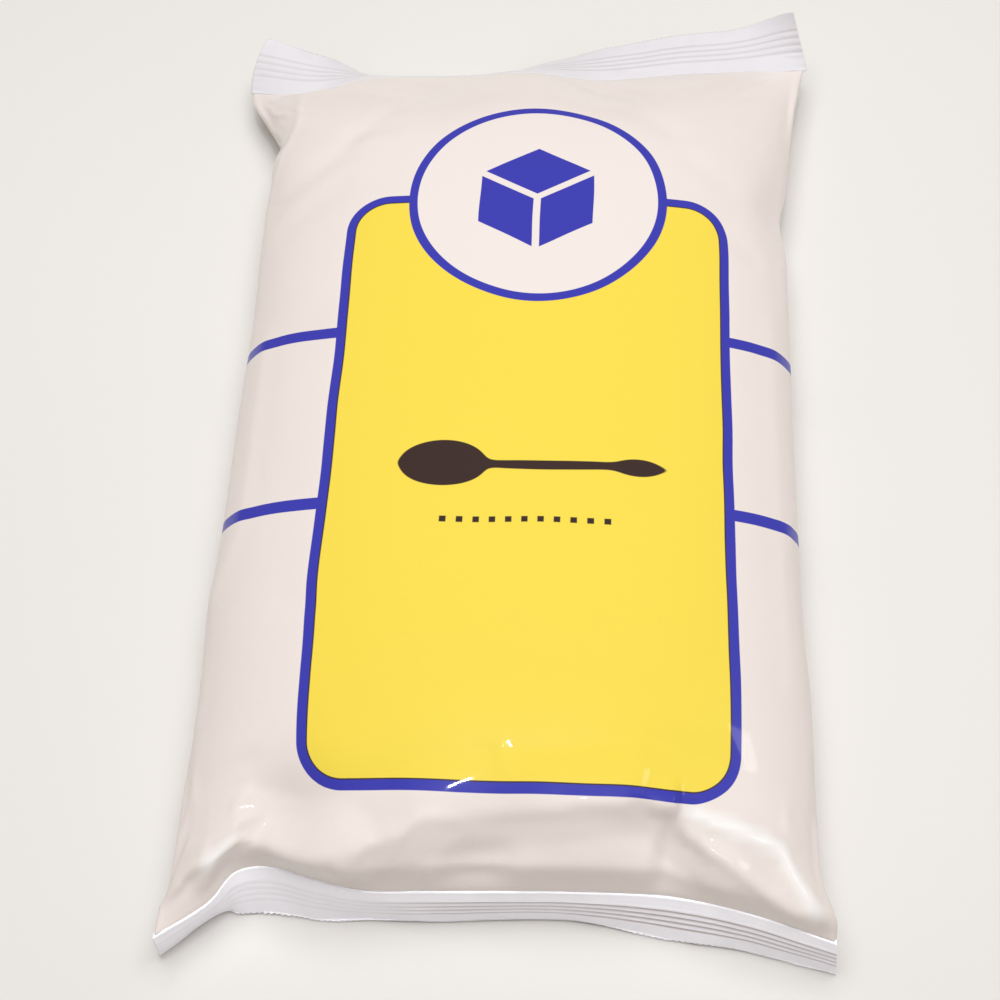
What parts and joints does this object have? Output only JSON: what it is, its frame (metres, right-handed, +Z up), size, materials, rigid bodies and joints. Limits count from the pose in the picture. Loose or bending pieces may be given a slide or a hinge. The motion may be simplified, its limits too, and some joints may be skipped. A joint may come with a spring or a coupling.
{
  "type": "bag of sugar",
  "caption": "Filled pillow bag of sugar in white printed film, lying flat, with a ribbed seal across each end and folded corners.",
  "frame": {"origin": "on the floor, under the middle of the bag's box", "axes": "+X across the bag to the right of its printed face, +Y along it from the near seal to the far seal, +Z up out of the printed face"},
  "size_m": [0.204, 0.3454, 0.0426],
  "materials": {
    "film": "opaque white polyethylene film with a soft gloss, printed with a yellow panel edged in blue"
  },
  "bodies": {
    "root": {"bag": "film"}
  },
  "joints": []
}
